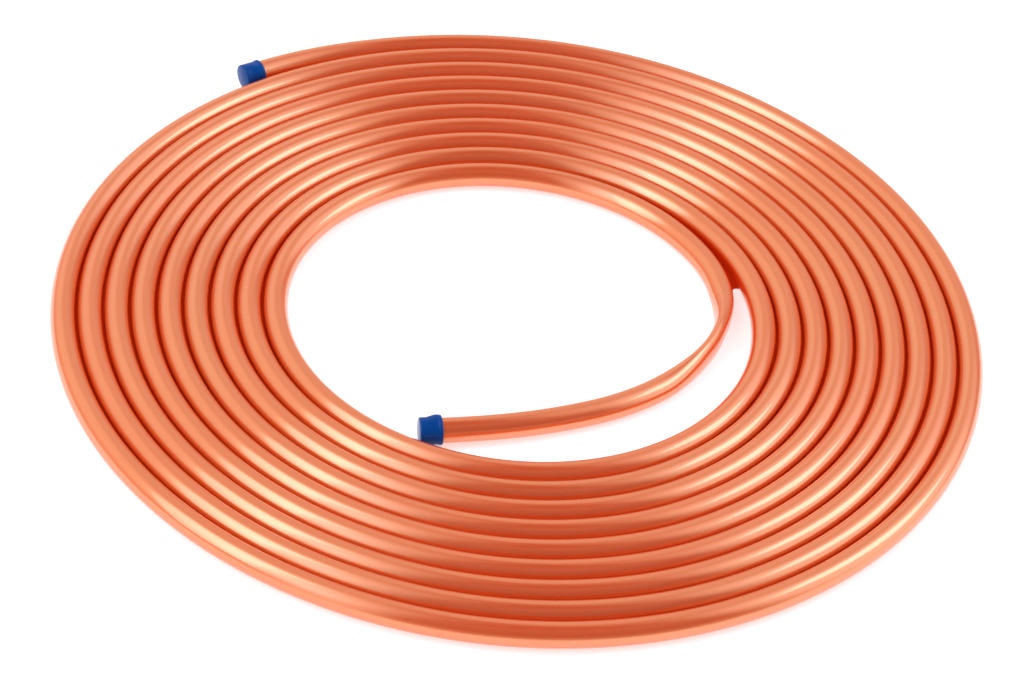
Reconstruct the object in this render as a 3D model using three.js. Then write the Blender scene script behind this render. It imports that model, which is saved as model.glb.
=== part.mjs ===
// Flat coil of soft copper tube, as it is sold for refrigeration and water lines: one length of
// round tube wound in a single layer, lying flat, with a push-on plastic cap on each end.
// Millimetres, +Z up. The tube lies on z = 0, and the origin is under the middle of the coil.

import * as THREE from 'three';

// ---- driving dimensions ----

const TUBE_OD = 19.05;
const TUBE_WALL = 0.89;

const LAY_GAP = 0.75;            // clear space between neighbouring turns
const OUTER_RADIUS = 354.5;      // centreline radius that the winding starts from, at the outer end
const COIL_TURNS = 9.264;        // turns that lie in the coil, before the inner end leaves it
const START_AZIMUTH = 129.2;     // degrees, where the winding starts; it runs clockwise from there
const OVALITY = 2.3;             // how much the coil is longer than round along X, on its radius

const OUTER_SPRING_TURN = 0.1;   // the share of a turn over which the outer end springs away
const INNER_EASE = 4.2;          // how far the last turn has relaxed towards the eye
const INNER_EASE_TURN = 0.5;     // the share of a turn over which it has

// The inner end is pulled across the eye by hand: arcs, each tangent to the one before. They are
// drawn for this coil. In another one they are larger or smaller, until the cap lies as near to
// the innermost turn as it does here.
const TAIL_ARCS = [
  { radius: 121.5, sweep: 70.5 },
  { radius: 203, sweep: 25.2 },
  { radius: 425, sweep: 14.9 },
];
const STRAIGHT_END = 24;         // each end of the tube is straight, where its cap goes on
// A bend that tight pinches soft tube: it is narrower there by this share of its width, and taller
// by this share of its height. The stretch is measured from the end of the coil.
const BEND_SQUEEZE = 0.4;
const BEND_SWELL = 0.25;
const SQUEEZE_FROM = 15;
const SQUEEZE_TO = 225;
const SQUEEZE_FADE = 65;

const CAP_CLEARANCE = 0.3;       // between the tube and the bore of its cap
const CAP_WALL = 0.7;
const CAP_END_THICKNESS = 1.2;
const CAP_DEPTH = 15;            // length of tube inside a cap
const CAP_RIM = 0.3;             // the mouth of a cap is rolled out by this much
const CAP_RIM_LENGTH = 2.2;
const OUTER_CAP_GAP = 1.45;      // between the outer cap and the turn beside it
const INNER_CAP_GAP = 0.6;       // between the inner cap and the innermost turn
const END_RISE_LENGTH = 110;     // stretch over which the tube climbs to the height of its cap

const STEPS_PER_TURN = 32;
const SHORTEST_STEP = 0.3;       // the least share of a step between the start and the next station
const TAIL_STEPS_PER_TURN = 51;
const FEWEST_ARC_STEPS = 2;
const HEADING_STEP = 1e-4;       // turns to either side, between which a heading is measured
const TAIL_SCALE_RANGE = [0.4, 2];
const TAIL_SCALE_HALVINGS = 40;
const OUTER_SIDES = 12;
const BORE_SIDES = 8;

// ---- sizes that follow from them ----

const PITCH = TUBE_OD + LAY_GAP;
const TUBE_RADIUS = TUBE_OD / 2;
const BORE_RADIUS = TUBE_RADIUS - TUBE_WALL;

const CAP_BORE = TUBE_RADIUS + CAP_CLEARANCE;
const CAP_RADIUS = CAP_BORE + CAP_WALL;
const CAP_RIM_RADIUS = CAP_RADIUS + CAP_RIM;
const CAP_LENGTH = CAP_DEPTH + CAP_CLEARANCE + CAP_END_THICKNESS;

// A capped end is carried by its cap, which lies on the floor on its rim.
const END_RISE = CAP_RIM_RADIUS - TUBE_RADIUS;

// The outer end springs away from the turn beside it, to leave room for its cap.
const OUTER_SPRING = CAP_RIM_RADIUS + TUBE_RADIUS + OUTER_CAP_GAP - PITCH;

// ---- the route of the tube ----

function smoothStep(value) {
  const t = THREE.MathUtils.clamp(value, 0, 1);
  return t * t * (3 - 2 * t);
}

// A point of the winding, a number of turns in from the outer end.
function coilPoint(turn) {
  const azimuth = THREE.MathUtils.degToRad(START_AZIMUTH) - 2 * Math.PI * turn;
  const spring = Math.max(0, 1 - turn / OUTER_SPRING_TURN) ** 2;
  const ease = THREE.MathUtils.clamp(1 - (COIL_TURNS - turn) / INNER_EASE_TURN, 0, 1) ** 2;
  const radius = OUTER_RADIUS - PITCH * turn + OVALITY * Math.cos(2 * azimuth)
    + OUTER_SPRING * spring - INNER_EASE * ease;
  return new THREE.Vector2(radius * Math.cos(azimuth), radius * Math.sin(azimuth));
}

function coilHeading(turn) {
  return coilPoint(turn + HEADING_STEP).sub(coilPoint(turn - HEADING_STEP)).angle();
}

// The station that lies straight ahead of another one, or behind it.
function straightOn({ point, heading }, distance) {
  const ahead = new THREE.Vector2(Math.cos(heading), Math.sin(heading));
  return { point: point.clone().addScaledVector(ahead, distance), heading };
}

// Stations of the winding stand at the same azimuths in every turn, so that the facets of
// neighbouring turns lie parallel and the gap between them stays even.
function coilStations() {
  const startOffset = (START_AZIMUTH / 360 * STEPS_PER_TURN) % 1 / STEPS_PER_TURN;
  const turns = [0];
  for (let turn = startOffset; turn < COIL_TURNS; turn += 1 / STEPS_PER_TURN) {
    if (turn > SHORTEST_STEP / STEPS_PER_TURN) {
      turns.push(turn);
    }
  }
  const stations = turns.map((turn) => ({ point: coilPoint(turn), heading: coilHeading(turn) }));
  return [straightOn(stations[0], -STRAIGHT_END), ...stations];
}

// The tail starts where the winding stops and turns clockwise along its arcs.
function tailStations(scale) {
  const stations = [];
  const point = coilPoint(COIL_TURNS);
  let heading = coilHeading(COIL_TURNS);
  stations.push({ point: point.clone(), heading });
  for (const { radius, sweep } of TAIL_ARCS) {
    const turned = THREE.MathUtils.degToRad(sweep);
    const steps = Math.max(FEWEST_ARC_STEPS, Math.round(sweep / 360 * TAIL_STEPS_PER_TURN));
    const chord = 2 * scale * radius * Math.sin(turned / steps / 2);
    for (let step = 0; step < steps; step += 1) {
      const middle = heading - turned / steps / 2;
      point.x += chord * Math.cos(middle);
      point.y += chord * Math.sin(middle);
      heading -= turned / steps;
      stations.push({ point: point.clone(), heading });
    }
  }
  stations.push(straightOn(stations[stations.length - 1], STRAIGHT_END));
  return stations;
}

// The clear space between the closed end of the inner cap and the innermost turn, towards which
// the cap points.
function innerCapGap(scale) {
  const end = tailStations(scale).pop();
  const capEnd = straightOn(end, CAP_LENGTH - CAP_DEPTH).point;
  const turnsBack = (START_AZIMUTH - THREE.MathUtils.radToDeg(capEnd.angle())) / 360;
  const turn = turnsBack + Math.floor(COIL_TURNS - turnsBack);
  return coilPoint(turn).length() - capEnd.length() - CAP_RADIUS - TUBE_RADIUS;
}

// The largest tail that leaves the inner cap its gap.
function tailScale() {
  let [fits, tooLarge] = TAIL_SCALE_RANGE;
  for (let halving = 0; halving < TAIL_SCALE_HALVINGS; halving += 1) {
    const scale = (fits + tooLarge) / 2;
    if (innerCapGap(scale) > INNER_CAP_GAP) {
      fits = scale;
    } else {
      tooLarge = scale;
    }
  }
  return fits;
}

// Adds to each station its distance along the tube, its height, and the shares of its width and
// its height that the pinched bend leaves it.
function tubeStations() {
  const coil = coilStations();
  const stations = [...coil, ...tailStations(tailScale())];
  let distance = 0;
  stations.forEach((station, index) => {
    if (index > 0) {
      distance += station.point.distanceTo(stations[index - 1].point);
    }
    station.distance = distance;
  });
  const total = distance;
  const coilEnd = stations[coil.length].distance;
  for (const station of stations) {
    const fromEnd = Math.min(station.distance, total - station.distance);
    const rise = END_RISE * smoothStep(1 - (fromEnd - STRAIGHT_END) / END_RISE_LENGTH);
    const pastCoil = station.distance - coilEnd;
    const intoBend = Math.min(pastCoil - SQUEEZE_FROM, SQUEEZE_TO - pastCoil) / SQUEEZE_FADE;
    const pinch = smoothStep(intoBend);
    station.wide = 1 - BEND_SQUEEZE * pinch;
    station.tall = 1 + BEND_SWELL * pinch;
    station.height = TUBE_RADIUS * station.tall + rise;
  }
  return stations;
}

// The route as a curve for ExtrudeGeometry. It is asked only at its stations, and it hands out
// frames that stay upright. A frame is as wide and as tall as the pinched bend leaves the tube.
class TubeRoute extends THREE.Curve {
  constructor(stations) {
    super();
    this.stations = stations;
  }

  getUtoTmapping(u) {
    return u;
  }

  getPoint(t, target = new THREE.Vector3()) {
    const station = this.stations[Math.round(t * (this.stations.length - 1))];
    return target.set(station.point.x, station.point.y, station.height);
  }

  computeFrenetFrames() {
    const frames = { tangents: [], normals: [], binormals: [] };
    for (const { heading, wide, tall } of this.stations) {
      const tangent = new THREE.Vector3(Math.cos(heading), Math.sin(heading), 0);
      const up = new THREE.Vector3(0, 0, 1);
      frames.tangents.push(tangent);
      frames.binormals.push(tangent.clone().cross(up).multiplyScalar(wide));
      frames.normals.push(up.multiplyScalar(tall));
    }
    return frames;
  }
}

// ---- the pieces ----

// A polygon drawn round a circle reaches further than the circle at its corners.
function cornerRadius(apothem, sides) {
  return apothem / Math.cos(Math.PI / sides);
}

// A regular outline with a flat side at the bottom, so that the tube rests on flats.
function polygonPoints(apothem, sides) {
  const corner = cornerRadius(apothem, sides);
  const points = [];
  for (let side = 0; side < sides; side += 1) {
    const angle = (side + 0.5) / sides * 2 * Math.PI;
    points.push(new THREE.Vector2(corner * Math.cos(angle), corner * Math.sin(angle)));
  }
  return points;
}

// The apothem at which a polygon has the area of the round bore.
function equalAreaApothem(radius, sides) {
  return radius * Math.sqrt(Math.PI / sides / Math.tan(Math.PI / sides));
}

function tubeSection() {
  const section = new THREE.Shape(polygonPoints(TUBE_RADIUS, OUTER_SIDES));
  const boreApothem = equalAreaApothem(BORE_RADIUS, BORE_SIDES);
  section.holes.push(new THREE.Path(polygonPoints(boreApothem, BORE_SIDES)));
  return section;
}

function copperTube(stations) {
  const geometry = new THREE.ExtrudeGeometry(tubeSection(), {
    extrudePath: new TubeRoute(stations),
    steps: stations.length - 1,
    bevelEnabled: false,
  });
  const copper = new THREE.MeshStandardMaterial({ color: 0xd98262, roughness: 0.3, metalness: 1 });
  const mesh = new THREE.Mesh(geometry, copper);
  mesh.name = 'copper_tube';
  return mesh;
}

// A cap is a cup turned about its own axis, with its mouth at y = 0 and its closed end at the top.
// Its sides line up with those of the tube.
function capGeometry() {
  const edge = CAP_END_THICKNESS / 2;
  const profile = [
    [0, CAP_DEPTH + CAP_CLEARANCE],
    [CAP_BORE, CAP_DEPTH + CAP_CLEARANCE],
    [CAP_BORE, 0],
    [CAP_RIM_RADIUS, 0],
    [CAP_RIM_RADIUS, CAP_RIM_LENGTH],
    [CAP_RADIUS, CAP_RIM_LENGTH + CAP_RIM],
    [CAP_RADIUS, CAP_LENGTH - edge],
    [CAP_RADIUS - edge, CAP_LENGTH],
    [0, CAP_LENGTH],
  ];
  const points = profile.map(
    ([radius, along]) => new THREE.Vector2(cornerRadius(radius, OUTER_SIDES), along),
  );
  return new THREE.LatheGeometry(points, OUTER_SIDES, Math.PI / OUTER_SIDES);
}

// Seats a cap on the end of the tube, its mouth towards the coil.
function endCap(name, end, outwards) {
  const blue = new THREE.MeshStandardMaterial({ color: 0x0a3a8c, roughness: 0.4, metalness: 0 });
  const mesh = new THREE.Mesh(capGeometry(), blue);
  mesh.name = name;
  const axis = new THREE.Vector3(Math.cos(outwards), Math.sin(outwards), 0);
  mesh.quaternion.setFromUnitVectors(new THREE.Vector3(0, 1, 0), axis);
  mesh.position.set(end.point.x, end.point.y, end.height).addScaledVector(axis, -CAP_DEPTH);
  return mesh;
}

const stations = tubeStations();
const outerEnd = stations[0];
const innerEnd = stations[stations.length - 1];

const coil = new THREE.Group();
coil.add(copperTube(stations));
coil.add(endCap('outer_end_cap', outerEnd, outerEnd.heading + Math.PI));
coil.add(endCap('inner_end_cap', innerEnd, innerEnd.heading));

// The origin goes to the floor under the middle of the coil's box.
const box = new THREE.Box3().setFromObject(coil, true);
const middle = box.getCenter(new THREE.Vector3());
coil.position.set(-middle.x, -middle.y, -box.min.z);

export default coil;
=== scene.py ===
"""A flat coil of soft copper tube with a plastic cap on each end, lying on a pale floor."""

import math
from typing import NamedTuple

import bmesh
import bpy
from mathutils import Matrix, Vector


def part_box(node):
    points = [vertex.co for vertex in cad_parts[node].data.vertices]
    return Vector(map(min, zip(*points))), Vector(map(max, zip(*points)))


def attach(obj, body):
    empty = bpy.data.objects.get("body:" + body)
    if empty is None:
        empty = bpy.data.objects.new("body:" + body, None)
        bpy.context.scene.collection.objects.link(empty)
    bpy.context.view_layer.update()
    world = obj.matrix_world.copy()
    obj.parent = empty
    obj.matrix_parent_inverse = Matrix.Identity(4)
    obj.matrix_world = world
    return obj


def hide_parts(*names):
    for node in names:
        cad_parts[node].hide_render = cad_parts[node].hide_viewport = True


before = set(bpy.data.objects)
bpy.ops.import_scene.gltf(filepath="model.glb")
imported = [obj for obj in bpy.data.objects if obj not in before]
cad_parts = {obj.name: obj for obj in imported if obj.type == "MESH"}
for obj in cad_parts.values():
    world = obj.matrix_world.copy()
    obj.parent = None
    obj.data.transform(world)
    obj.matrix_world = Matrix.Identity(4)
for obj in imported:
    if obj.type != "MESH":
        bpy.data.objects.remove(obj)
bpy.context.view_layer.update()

# ---- the tube and its winding: lengths in metres, arcs as a radius and the degrees they turn ----

TUBE_OD = 0.01905
TUBE_RADIUS = TUBE_OD / 2
TUBE_WALL = 0.00089
PITCH = TUBE_OD + 0.00075
OUTER_RADIUS = 0.3545
COIL_TURNS = 9.264
START_AZIMUTH = math.radians(129.2)
OVALITY = 0.0023
OUTER_SPRING = 0.002
OUTER_SPRING_TURN = 0.1
INNER_EASE = 0.0042
INNER_EASE_TURN = 0.5
TAIL_ARCS = ((0.1215, 70.5), (0.203, 25.2), (0.425, 14.9))
STRAIGHT_END = 0.024
END_RISE = 0.0013
END_RISE_LENGTH = 0.110
BORE_DEPTH = -0.03

# ---- the tight bend that the inner end starts with: how much narrower and taller it leaves the
# tube, and from where to where past the coil ----

BEND_SQUEEZE = 0.4
BEND_SWELL = 0.25
SQUEEZE_FROM = 0.045
SQUEEZE_TO = 0.185
SQUEEZE_FADE = 0.06

# ---- the caps ----

CAP_DEPTH = 0.015
CAP_BORE = TUBE_RADIUS + 0.0001
CAP_RADIUS = 0.01035
CAP_RIM_RADIUS = TUBE_RADIUS + END_RISE
CAP_LENGTH = 0.0165
CAP_RIM_LENGTH = 0.0022
CAP_GAP = 0.0003
CAP_EDGE = 0.0003
CAP_CORNER = 0.001
CORNER_CUT = 0.3
LUG_HEIGHT = 0.0016
LUG_PEAK = 0.0038
LUG_REACH = 0.012
LUG_SPREAD = math.radians(52)
LUG_FALL = 0.65

# ---- the floor, and its red strip between the turns: painted shade and painted red bounce light in the gaps ----

FLOOR_HALF_WIDTH = 6.0
FLOOR_HEIGHT = -0.0005
FLOOR_COLOUR = (0.85, 0.85, 0.85, 1)
FLOOR_GLOW = (0.5, 0.5, 0.5, 1)
CREVICE_WIDTH = 0.018
CREVICE_END = COIL_TURNS - 0.964
CREVICE_HEIGHT = -0.0003
# painted shade and painted red bounce light for the floor deep in the gaps between the turns
CREVICE_PAINTED_SHADE = (0.3, 0.015, 0.005, 1)
CREVICE_PAINTED_BOUNCE = (0.27, 0.01, 0.001, 1)
TIP_RADIUS = 0.0034
TIP_SHARE = 0.645
TIP_SIDES = 32

# ---- the copper: waves per metre along the tube and round it, depths in metres ----

LENGTH_MAP = "along_tube"
GROUND_COLOUR = (0.97, 0.088, 0.003, 1)
GROUND_ROUGHNESS = 0.8
POLISH_COLOUR = (0.66, 0.45, 0.21, 1)
POLISH_ROUGHNESS = 0.14
POLISH_ANISOTROPY = 0.5
POLISH_ROTATION = 0.25
ROUGHNESS_WANDER = 0.05
POLISH_SHARE = 0.47
SHARE_WANDER = 0.16
NOISE_MIDDLE = 0.5
OIL_FILM = 1.0
OIL_ROUGHNESS = 0.1
DIE_LINE_WAVES = (3.0, 1500.0, 1.0)
DIE_LINE_DEPTH = 0.000008
SWAY_WAVES = (6.0, 0.0, 1.0)
SWAY_DEPTH = 0.004
WEAR_WAVES = (1.7, 0.0, 1.0)
CLOUD_WAVES = 60.0

# ---- the cap plastic ----

DARK_BLUE = (0.0, 0.036, 0.19, 1)
LIGHT_BLUE = (0.001, 0.07, 0.31, 1)
CAP_ROUGHNESS = 0.16
CAP_ROUGHNESS_WANDER = 0.1
CAP_GLOSS = 0.15
TONE_WAVES = 120.0
GRAIN_WAVES = 900.0
GRAIN_STRENGTH = 0.1
GRAIN_DEPTH = 0.0002

# ---- the light ----

LAMP_COLOUR = (0.98, 1, 1.3)
LAMP_DISTANCE = 2.2
GLOW_COLOUR = (0.96, 0.98, 1.2, 1)
ROOM_COLOUR = (0.95, 0.98, 0.91, 1)
HORIZON_LIGHT = 0.78
HORIZON_COLOUR = (0.96, 0.74, 0.62, 1)
HORIZON_HEIGHT = 0.45
WALL_BEHIND = 0.9
WALL_LEFT = 1.35
WALL_RIGHT = 0.4
ROOM_STOPS = (
    (0.0, (0.2, 0.2, 0.2, 1)),
    (0.35, (0.33, 0.33, 0.33, 1)),
    (0.5, (0.2, 0.2, 0.2, 1)),
    (0.62, (0.17, 0.17, 0.17, 1)),
    (0.69, (0.2, 0.2, 0.2, 1)),
    (0.82, (0.88, 0.88, 0.88, 1)),
    (0.95, (0.85, 0.85, 0.85, 1)),
    (1.0, (1.15, 1.15, 1.15, 1)),
)

# ---- how finely the pieces are made ----

STEPS_PER_TURN = 240
TAIL_STEP = 0.003
STRAIGHT_STEPS = 6
HEADING_STEP = 0.0001
PROFILE_SIDES = 28
CAP_STEPS = 64
CAP_RING_STEP = 0.001
MERGE_DISTANCE = 0.000001

# ---- the camera, measured from the middle of the winding ----

CAMERA_DISTANCE = 120.0 * TUBE_OD
CAMERA_ELEVATION = math.radians(40.14)
CAMERA_ROLL = math.radians(6.467)
CAMERA_AIM = Vector((0.125, -1.25, 0)) * TUBE_OD
FOCAL_LENGTH_PIXELS = 3015.8
IMAGE_WIDTH = 1028
SENSOR_WIDTH = 36.0
FARTHEST_SEEN = 50.0


# ---- shader maths as Python expressions ----

class Shade:
    """A node tree of a material or world. It makes nodes, and hands their outputs back as values."""

    def __init__(self, owner):
        self.owner = owner
        owner.use_nodes = True
        self.tree = owner.node_tree
        self.tree.nodes.clear()

    def node(self, kind, settings=None, output=0, **inputs):
        """A node of that type: its settings first, then the values or links of its sockets."""
        made = self.tree.nodes.new(kind)
        for key, value in (settings or {}).items():
            if key == "stops":
                ramp = made.color_ramp
                while len(ramp.elements) < len(value):
                    ramp.elements.new(0.5)
                for element, (position, colour) in zip(ramp.elements, value):
                    element.position = position
                    element.color = colour
            else:
                setattr(made, key, value)
        for name, value in inputs.items():
            socket = made.inputs[int(name[1:])] if name[0] == "_" else made.inputs[name.replace("_", " ")]
            if isinstance(value, Value):
                self.tree.links.new(value.socket, socket)
            else:
                socket.default_value = value
        return Value(self, made.outputs[output] if made.outputs else None, made)

    def mix(self, factor, first, second):
        """A blend of two colours."""
        return self.node("ShaderNodeMix", {"data_type": "RGBA"}, 2, _0=factor, _6=first, _7=second)

    def surface(self, shader):
        self.node("ShaderNodeOutputMaterial", _0=shader)
        return self.owner


class Value:
    """A socket that Python's operators work on."""

    def __init__(self, shade, socket, node):
        self.shade = shade
        self.socket = socket
        self.made = node

    def out(self, name):
        return Value(self.shade, self.made.outputs[name], self.made)

    def maths(self, operation, first, second=0.0, clamp=False):
        settings = {"operation": operation, "use_clamp": clamp}
        return self.shade.node("ShaderNodeMath", settings, _0=first, _1=second)

    def __add__(self, other):
        return self.maths("ADD", self, other)

    def __radd__(self, other):
        return self.maths("ADD", other, self)

    def __sub__(self, other):
        return self.maths("SUBTRACT", self, other)

    def __rsub__(self, other):
        return self.maths("SUBTRACT", other, self)

    def __mul__(self, other):
        return self.maths("MULTIPLY", self, other)

    def __rmul__(self, other):
        return self.maths("MULTIPLY", other, self)

    def at_most(self, most):
        return self.maths("MINIMUM", self, most)

    def at_least(self, least):
        return self.maths("MAXIMUM", self, least)

    def clamped(self):
        return self.maths("ADD", self, 0.0, True)


# ---- the route of the tube ----

class Station(NamedTuple):
    """A place on the tube's route, in metres."""
    place: Vector
    distance: float
    wide: float
    tall: float


def smooth_step(value):
    t = min(max(value, 0.0), 1.0)
    return t * t * (3 - 2 * t)


def coil_point(turn):
    """A point of the winding, a number of turns in from the outer end."""
    azimuth = START_AZIMUTH - 2 * math.pi * turn
    spring = max(0.0, 1 - turn / OUTER_SPRING_TURN) ** 2
    ease = min(max(1 - (COIL_TURNS - turn) / INNER_EASE_TURN, 0.0), 1.0) ** 2
    radius = (OUTER_RADIUS - PITCH * turn + OVALITY * math.cos(2 * azimuth)
              + OUTER_SPRING * spring - INNER_EASE * ease)
    return Vector((radius * math.cos(azimuth), radius * math.sin(azimuth)))


def coil_heading(turn):
    ahead = coil_point(turn + HEADING_STEP) - coil_point(turn - HEADING_STEP)
    return math.atan2(ahead.y, ahead.x)


def straight_on(point, heading, distance):
    return point + Vector((math.cos(heading), math.sin(heading))) * distance


def plan_route():
    """The tube's centreline seen from above, and where along it the coil ends."""
    first = coil_point(0)
    shares = [step / STRAIGHT_STEPS for step in range(STRAIGHT_STEPS + 1)]
    points = [straight_on(first, coil_heading(0), -STRAIGHT_END * (1 - share)) for share in shares[:-1]]
    steps = round(COIL_TURNS * STEPS_PER_TURN)
    points += [coil_point(COIL_TURNS * step / steps) for step in range(steps + 1)]
    coil_end = len(points) - 1
    point = points[-1]
    heading = coil_heading(COIL_TURNS)
    for radius, sweep in TAIL_ARCS:
        turned = math.radians(sweep)
        steps = round(radius * turned / TAIL_STEP)
        chord = 2 * radius * math.sin(turned / steps / 2)
        for _ in range(steps):
            point = straight_on(point, heading - turned / steps / 2, chord)
            heading -= turned / steps
            points.append(point)
    points += [straight_on(point, heading, STRAIGHT_END * share) for share in shares[1:]]
    return points, coil_end


def tube_stations():
    """The route, with how wide and how tall the tight bend leaves the tube."""
    points, coil_end = plan_route()
    distances = [0.0]
    for before, after in zip(points, points[1:]):
        distances.append(distances[-1] + (after - before).length)
    stations = []
    for point, distance in zip(points, distances):
        from_end = min(distance, distances[-1] - distance)
        rise = END_RISE * smooth_step(1 - (from_end - STRAIGHT_END) / END_RISE_LENGTH)
        past_coil = distance - distances[coil_end]
        into_bend = min(past_coil - SQUEEZE_FROM, SQUEEZE_TO - past_coil) / SQUEEZE_FADE
        pinch = smooth_step(into_bend)
        wide = 1 - BEND_SQUEEZE * pinch
        tall = 1 + BEND_SWELL * pinch
        place = Vector((point.x, point.y, TUBE_RADIUS * tall + rise))
        stations.append(Station(place, distance, wide, tall))
    return stations


# ---- modelling ----

def new_object(name, data):
    """An object in the scene, with that mesh, curve, lamp or camera."""
    made = bpy.data.objects.new(name, data)
    bpy.context.scene.collection.objects.link(made)
    return made


def shape_mesh(name, shape):
    """The mesh of a finished shape, which is freed."""
    mesh = bpy.data.meshes.new(name)
    shape.to_mesh(mesh)
    shape.free()
    return mesh


def curve_mesh(curve):
    """The mesh that a curve makes. The curve goes."""
    carrier = new_object(curve.name, curve)
    mesh = bpy.data.meshes.new_from_object(carrier.evaluated_get(bpy.context.evaluated_depsgraph_get()))
    bpy.data.objects.remove(carrier)
    bpy.data.curves.remove(curve)
    return mesh


def swept_mesh(stations):
    """A round tube along the stations, made by a curve with a bevel. Ring follows ring."""
    curve = bpy.data.curves.new("tube_route", "CURVE")
    curve.dimensions = "3D"
    curve.twist_mode = "Z_UP"
    curve.bevel_depth = TUBE_RADIUS
    curve.bevel_resolution = (PROFILE_SIDES - 4) // 2
    spline = curve.splines.new("POLY")
    spline.points.add(len(stations) - 1)
    for control, station in zip(spline.points, stations):
        control.co = (*station.place, 1)
    return curve_mesh(curve)


def squeeze_bend(mesh, stations):
    """Makes the rings of the tight bend narrower and taller."""
    for index, vertex in enumerate(mesh.vertices):
        station = stations[index // PROFILE_SIDES]
        share = Vector((station.wide, station.wide, station.tall))
        vertex.co = station.place + (vertex.co - station.place) * share


def add_length_map(mesh, stations):
    """A UV map in metres: U along the tube, V round it."""
    girth = 2 * math.pi * TUBE_RADIUS
    layer = mesh.uv_layers[0]
    layer.name = LENGTH_MAP
    for face in mesh.polygons:
        sides = [mesh.loops[loop].vertex_index % PROFILE_SIDES for loop in face.loop_indices]
        wraps = max(sides) - min(sides) > 1
        for loop, side in zip(face.loop_indices, sides):
            ring = mesh.loops[loop].vertex_index // PROFILE_SIDES
            around = PROFILE_SIDES if wraps and side == 0 else side
            layer.data[loop].uv = (stations[ring].distance, girth * around / PROFILE_SIDES)


def open_ends(mesh):
    """Gives both ends a rim as thick as the wall, and the mouth of the bore."""
    shape = bmesh.new()
    shape.from_mesh(mesh)
    rims = [edge for edge in shape.edges if edge.is_boundary]
    for face in bmesh.ops.holes_fill(shape, edges=rims, sides=0)["faces"]:
        face.normal_update()
        depth = face.normal * BORE_DEPTH
        bmesh.ops.inset_region(shape, faces=[face], thickness=TUBE_WALL, use_even_offset=True)
        bore = bmesh.ops.extrude_face_region(shape, geom=[face])["geom"]
        floor = [corner for corner in bore if isinstance(corner, bmesh.types.BMVert)]
        bmesh.ops.translate(shape, verts=floor, vec=depth)
        bmesh.ops.delete(shape, geom=[face], context="FACES_ONLY")
    bmesh.ops.recalc_face_normals(shape, faces=shape.faces)
    shape.to_mesh(mesh)
    shape.free()


def frame_middle():
    """Where the middle of the winding is in the frame, by the box of the framed tube."""
    stations = tube_stations()
    low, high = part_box("copper_tube")
    across = [station.place.x for station in stations]
    along = [station.place.y for station in stations]
    middle = Vector(((min(across) + max(across)) / 2, (min(along) + max(along)) / 2, 0))
    return Vector(((low[0] + high[0]) / 2, (low[1] + high[1]) / 2, 0)) - middle


def copper_tube(stations):
    mesh = swept_mesh(stations)
    squeeze_bend(mesh, stations)
    add_length_map(mesh, stations)
    open_ends(mesh)
    mesh.shade_smooth()
    return new_object("copper_tube_wound", mesh)


def raise_lug(shape, around):
    """Swells a turned cap near its mouth, on one side: the lug that it is pulled off by."""
    side = Vector((math.cos(around), math.sin(around)))
    for corner in shape.verts:
        along = corner.co.z
        if along < LUG_REACH:
            spread = smooth_step(1 - corner.co.xy.angle(side) / LUG_SPREAD)
            towards_end = smooth_step((LUG_REACH - along) / (LUG_REACH - LUG_PEAK))
            towards_mouth = 1 - LUG_FALL * smooth_step(1 - along / LUG_PEAK)
            swell = LUG_HEIGHT * spread * towards_end * towards_mouth
            corner.co.xy = corner.co.xy * (1 + swell / corner.co.xy.length)


def end_cap(name, end, before, lug_side):
    """A cup turned from its profile, then pushed over the end of the tube."""
    side_from = CAP_RIM_LENGTH + 2 * CAP_EDGE
    rings = round((CAP_LENGTH - CAP_CORNER - side_from) / CAP_RING_STEP)
    profile = [
        (0, CAP_DEPTH + CAP_GAP),
        (CAP_BORE, CAP_DEPTH + CAP_GAP),
        (CAP_BORE, 0),
        (CAP_RIM_RADIUS - CAP_EDGE, 0),
        (CAP_RIM_RADIUS, CAP_EDGE),
        (CAP_RIM_RADIUS, CAP_RIM_LENGTH),
        *((CAP_RADIUS, side_from + ring * CAP_RING_STEP) for ring in range(rings)),
        (CAP_RADIUS, CAP_LENGTH - CAP_CORNER),
        (CAP_RADIUS - CAP_CORNER * CORNER_CUT, CAP_LENGTH - CAP_CORNER * CORNER_CUT),
        (CAP_RADIUS - CAP_CORNER, CAP_LENGTH),
        (0, CAP_LENGTH),
    ]
    shape = bmesh.new()
    corners = [shape.verts.new((radius, 0, along)) for radius, along in profile]
    outline = [shape.edges.new(pair) for pair in zip(corners, corners[1:])]
    bmesh.ops.spin(shape, geom=corners + outline, axis=(0, 0, 1), cent=(0, 0, 0),
                   angle=2 * math.pi, steps=CAP_STEPS, use_merge=True)
    bmesh.ops.remove_doubles(shape, verts=shape.verts, dist=MERGE_DISTANCE)
    bmesh.ops.recalc_face_normals(shape, faces=shape.faces)
    raise_lug(shape, math.radians(lug_side))
    outwards = (end - before).normalized()
    outwards.z = 0
    turn = outwards.to_track_quat("Z", "Y").to_matrix().to_4x4()
    place = Matrix.Translation(end - outwards * CAP_DEPTH) @ turn
    bmesh.ops.transform(shape, matrix=place, verts=shape.verts)
    mesh = shape_mesh(name, shape)
    mesh.shade_smooth()
    return new_object(name, mesh)


# ---- finishes ----

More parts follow.
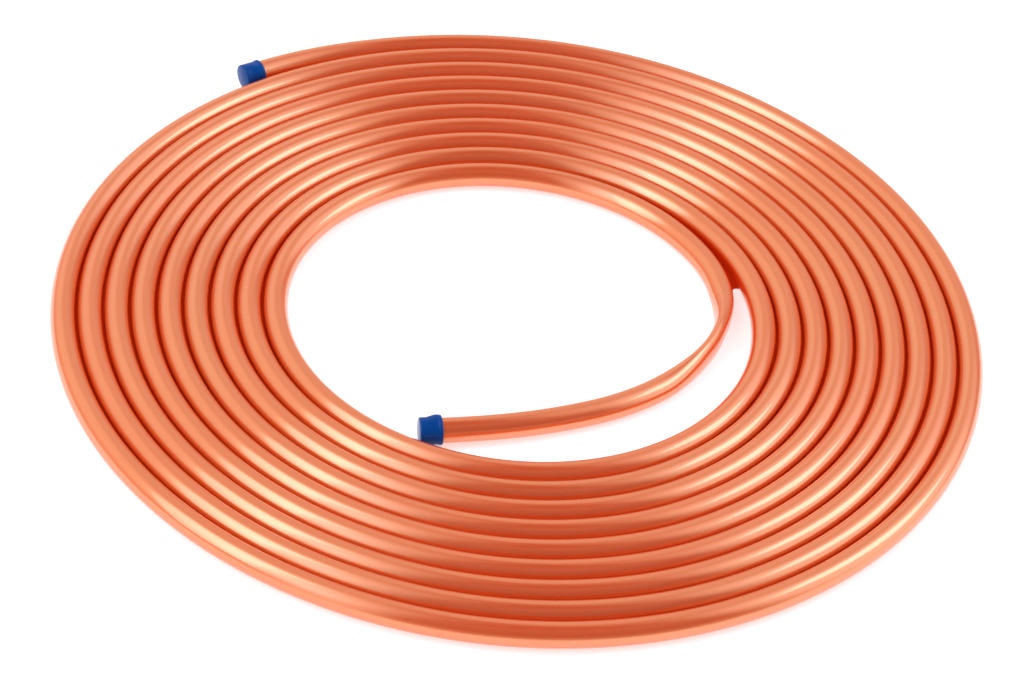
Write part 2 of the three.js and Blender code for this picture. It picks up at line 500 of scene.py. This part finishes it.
def drawn_copper():
    """Bright polish over a satin red ground, under a film of oil. The fine lines of the die run
    along the tube, and the share of polish and the lie of the highlights wander along it."""
    shade = Shade(bpy.data.materials.new("drawn_copper"))
    place = shade.node("ShaderNodeTexCoord").out("Object")
    along = shade.node("ShaderNodeUVMap", {"uv_map": LENGTH_MAP})
    lines_at = shade.node("ShaderNodeMapping", _0=along, _3=DIE_LINE_WAVES)
    lines = shade.node("ShaderNodeTexNoise", Vector=lines_at, Scale=1.0, Detail=3.0)
    cloud = shade.node("ShaderNodeTexNoise", Vector=place, Scale=CLOUD_WAVES, Detail=5.0)
    bent_at = shade.node("ShaderNodeMapping", _0=along, _3=SWAY_WAVES)
    sway = shade.node("ShaderNodeTexNoise", Vector=bent_at, Scale=1.0, Detail=0.0)
    worn_at = shade.node("ShaderNodeMapping", _0=along, _3=WEAR_WAVES)
    wear = shade.node("ShaderNodeTexNoise", Vector=worn_at, Scale=1.0, Detail=2.0)
    height = DIE_LINE_DEPTH * lines + SWAY_DEPTH * sway
    bump = shade.node("ShaderNodeBump", Strength=1.0, Distance=1.0, Height=height)
    ground = shade.node("ShaderNodeBsdfPrincipled", Base_Color=GROUND_COLOUR, Metallic=1.0,
                        Roughness=GROUND_ROUGHNESS, Coat_Weight=OIL_FILM, Coat_Roughness=OIL_ROUGHNESS)
    rough = POLISH_ROUGHNESS + ROUGHNESS_WANDER * lines + ROUGHNESS_WANDER * cloud
    polish = shade.node("ShaderNodeBsdfPrincipled", Base_Color=POLISH_COLOUR, Metallic=1.0,
                        Roughness=rough, Normal=bump, Anisotropic=POLISH_ANISOTROPY,
                        Anisotropic_Rotation=POLISH_ROTATION, Coat_Weight=OIL_FILM,
                        Coat_Roughness=OIL_ROUGHNESS)
    share = POLISH_SHARE + SHARE_WANDER * (wear - NOISE_MIDDLE)
    shader = shade.node("ShaderNodeMixShader", _0=share, _1=ground, _2=polish)
    return shade.surface(shader)


def moulded_blue():
    """Soft blue plastic with a fine moulded grain."""
    shade = Shade(bpy.data.materials.new("moulded_blue"))
    place = shade.node("ShaderNodeTexCoord").out("Object")
    grain = shade.node("ShaderNodeTexNoise", Vector=place, Scale=GRAIN_WAVES, Detail=3.0)
    tone = shade.node("ShaderNodeTexNoise", Vector=place, Scale=TONE_WAVES, Detail=3.0)
    colour = shade.mix(tone, DARK_BLUE, LIGHT_BLUE)
    rough = CAP_ROUGHNESS + CAP_ROUGHNESS_WANDER * grain
    bump = shade.node("ShaderNodeBump", Strength=GRAIN_STRENGTH, Distance=GRAIN_DEPTH, Height=grain)
    shader = shade.node("ShaderNodeBsdfPrincipled", Base_Color=colour, Roughness=rough, Normal=bump,
                        Specular_IOR_Level=CAP_GLOSS)
    return shade.surface(shader)


def lit_floor(name, colour, glow_colour):
    """A floor that keeps its shadows and glows a little, for the camera and in reflections only."""
    shade = Shade(bpy.data.materials.new(name))
    path = shade.node("ShaderNodeLightPath")
    reflected = path.out("Is Glossy Ray") + path.out("Is Transmission Ray")
    seen = (path.out("Is Camera Ray") + reflected).clamped()
    plain = shade.node("ShaderNodeBsdfDiffuse", Color=colour)
    lift = shade.node("ShaderNodeEmission", Color=glow_colour, Strength=seen)
    return shade.surface(shade.node("ShaderNodeAddShader", _0=plain, _1=lift))


def finish_piece(piece, node, material):
    piece.data.materials.clear()
    piece.data.materials.append(material)
    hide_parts(node)
    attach(piece, "root")


# ---- the studio ----

def add_floor(pale):
    shape = bmesh.new()
    bmesh.ops.create_grid(shape, x_segments=1, y_segments=1, size=FLOOR_HALF_WIDTH)
    bmesh.ops.translate(shape, verts=shape.verts, vec=(0, 0, FLOOR_HEIGHT))
    mesh = shape_mesh("floor", shape)
    mesh.materials.append(pale)
    new_object("floor", mesh)


def add_painted_gap_shade(middle):
    """A flat band along each gap between the turns, painted dark red as the shade deep in the gaps, and
    glowing red as painted bounce light from the copper.
    """
    curve = bpy.data.curves.new("painted_crevice_shade", "CURVE")
    curve.dimensions = "3D"
    curve.twist_mode = "Z_UP"
    curve.extrude = CREVICE_WIDTH / 2
    steps = round(CREVICE_END * STEPS_PER_TURN)
    spline = curve.splines.new("POLY")
    spline.points.add(steps)
    for step, control in enumerate(spline.points):
        turn = CREVICE_END * step / steps
        between = (coil_point(turn) + coil_point(turn + 1)) / 2 + middle.xy
        control.co = (*between, CREVICE_HEIGHT, 1)
        control.tilt = math.pi / 2
    mesh = curve_mesh(curve)
    mesh.materials.clear()
    # the band is painted dark red shade, with a painted red glow of bounce light
    mesh.materials.append(lit_floor("painted_shade_red_floor", CREVICE_PAINTED_SHADE, CREVICE_PAINTED_BOUNCE))
    new_object("painted_crevice_shade", mesh)


def add_tip_floor(middle, pale):
    """A round patch of pale floor that ends the band of painted gap shade where the gap beside the inner
    end opens.
    """
    end = coil_point(CREVICE_END + 1).lerp(coil_point(CREVICE_END), TIP_SHARE) + middle.xy
    shape = bmesh.new()
    bmesh.ops.create_circle(shape, cap_ends=True, segments=TIP_SIDES, radius=TIP_RADIUS)
    bmesh.ops.translate(shape, verts=shape.verts, vec=(*end, CREVICE_HEIGHT / 2))
    mesh = shape_mesh("tip_floor", shape)
    mesh.materials.append(pale)
    new_object("tip_floor", mesh)


def facing(azimuth, elevation, turn):
    """The way towards a light, and a frame turned square to it. Azimuths run from +Y towards +X."""
    level = math.cos(math.radians(elevation))
    way = Vector((math.sin(math.radians(azimuth)) * level, math.cos(math.radians(azimuth)) * level,
                  math.sin(math.radians(elevation))))
    turned = way.to_track_quat("Z", "Y").to_matrix() @ Matrix.Rotation(math.radians(turn), 3, "Z")
    return way, turned


def add_lamp(name, azimuth, elevation, turn, width, height, radiance):
    """A soft box that looks at the middle of the coil."""
    lamp = bpy.data.lights.new(name, "AREA")
    lamp.shape = "RECTANGLE"
    lamp.size = width
    lamp.size_y = height
    lamp.energy = radiance * math.pi * width * height
    lamp.color = LAMP_COLOUR
    way, turned = facing(azimuth, elevation, turn)
    new_object(name, lamp).matrix_world = Matrix.Translation(way * LAMP_DISTANCE) @ turned.to_4x4()


def glow(shade, direction, azimuth, elevation, turn, width, height, radiance, firmness):
    """A patch of bright wall that fades away towards its edge, the later the firmer it is."""
    way, turned = facing(azimuth, elevation, turn)
    spread = (width, height, max(width, height))
    from_middle = shade.node("ShaderNodeMapping", {"vector_type": "TEXTURE"}, 0, _0=direction, _1=way,
                             _2=turned.to_euler(), _3=spread)
    fade = shade.node("ShaderNodeTexGradient", {"gradient_type": "SPHERICAL"}, 1, _0=from_middle)
    return (fade * firmness).clamped() * radiance


def add_world():
    """A room: a dim ceiling, near side and right, pale walls behind and on the left, a warm light
    low down all round, and a soft glow on either hand."""
    shade = Shade(bpy.data.worlds.new("room"))
    bpy.context.scene.world = shade.owner
    direction = shade.node("ShaderNodeTexCoord").out("Generated")
    parts = shade.node("ShaderNodeSeparateXYZ", _0=direction)
    across, away, height = parts.out("X"), parts.out("Y"), parts.out("Z")
    wall = WALL_BEHIND * away - WALL_LEFT * across.at_most(0.0) - WALL_RIGHT * across.at_least(0.0)
    room = shade.node("ShaderNodeValToRGB", {"stops": ROOM_STOPS}, _0=0.5 * wall + 0.5)
    above = (height * (1 / HORIZON_HEIGHT)).clamped()
    walls = room * above + (1 - above) * HORIZON_LIGHT
    left = glow(shade, direction, azimuth=-128, elevation=48, turn=26, width=0.39, height=1.05,
                radiance=2.05, firmness=1.25)
    right = glow(shade, direction, azimuth=75, elevation=36, turn=-50, width=0.57, height=0.86,
                 radiance=1.25, firmness=2.9)
    plain = shade.mix(above, HORIZON_COLOUR, ROOM_COLOUR)
    tint = shade.mix((0.5 * (left + right)).clamped(), plain, GLOW_COLOUR)
    background = shade.node("ShaderNodeBackground", Color=tint, Strength=walls + left + right)
    shade.node("ShaderNodeOutputWorld", _0=background)


def add_camera(middle):
    camera = bpy.data.cameras.new("camera")
    camera.sensor_fit = "HORIZONTAL"
    camera.sensor_width = SENSOR_WIDTH
    camera.lens = FOCAL_LENGTH_PIXELS / IMAGE_WIDTH * SENSOR_WIDTH
    camera.clip_end = FARTHEST_SEEN
    back = Vector((0, -math.cos(CAMERA_ELEVATION), math.sin(CAMERA_ELEVATION)))
    level = Vector((1, 0, 0))
    upright = back.cross(level)
    right = level * math.cos(CAMERA_ROLL) + upright * math.sin(CAMERA_ROLL)
    up = back.cross(right)
    turned = Matrix((right, up, back)).transposed().to_4x4()
    holder = new_object("camera", camera)
    holder.matrix_world = Matrix.Translation(middle + CAMERA_AIM + back * CAMERA_DISTANCE) @ turned
    bpy.context.scene.camera = holder


# ---- the scene ----

middle = frame_middle()
stations = [station._replace(place=station.place + middle) for station in tube_stations()]

tube = copper_tube(stations)
outer_cap = end_cap("outer_cap_moulded", stations[0].place, stations[1].place, lug_side=47)
inner_cap = end_cap("inner_cap_moulded", stations[-1].place, stations[-2].place, lug_side=125)

copper = drawn_copper()
blue = moulded_blue()
finish_piece(tube, "copper_tube", copper)
finish_piece(outer_cap, "outer_end_cap", blue)
finish_piece(inner_cap, "inner_end_cap", blue)

pale = lit_floor("pale_floor", FLOOR_COLOUR, FLOOR_GLOW)
add_floor(pale)
add_painted_gap_shade(middle)
add_tip_floor(middle, pale)
add_world()
add_lamp("left_box", azimuth=-110, elevation=42, turn=26, width=0.85, height=2.8, radiance=1.35)
add_lamp("right_box", azimuth=78, elevation=42, turn=16, width=1.0, height=1.05, radiance=2.0)
add_camera(middle)

bpy.context.scene.view_settings.view_transform = "Standard"
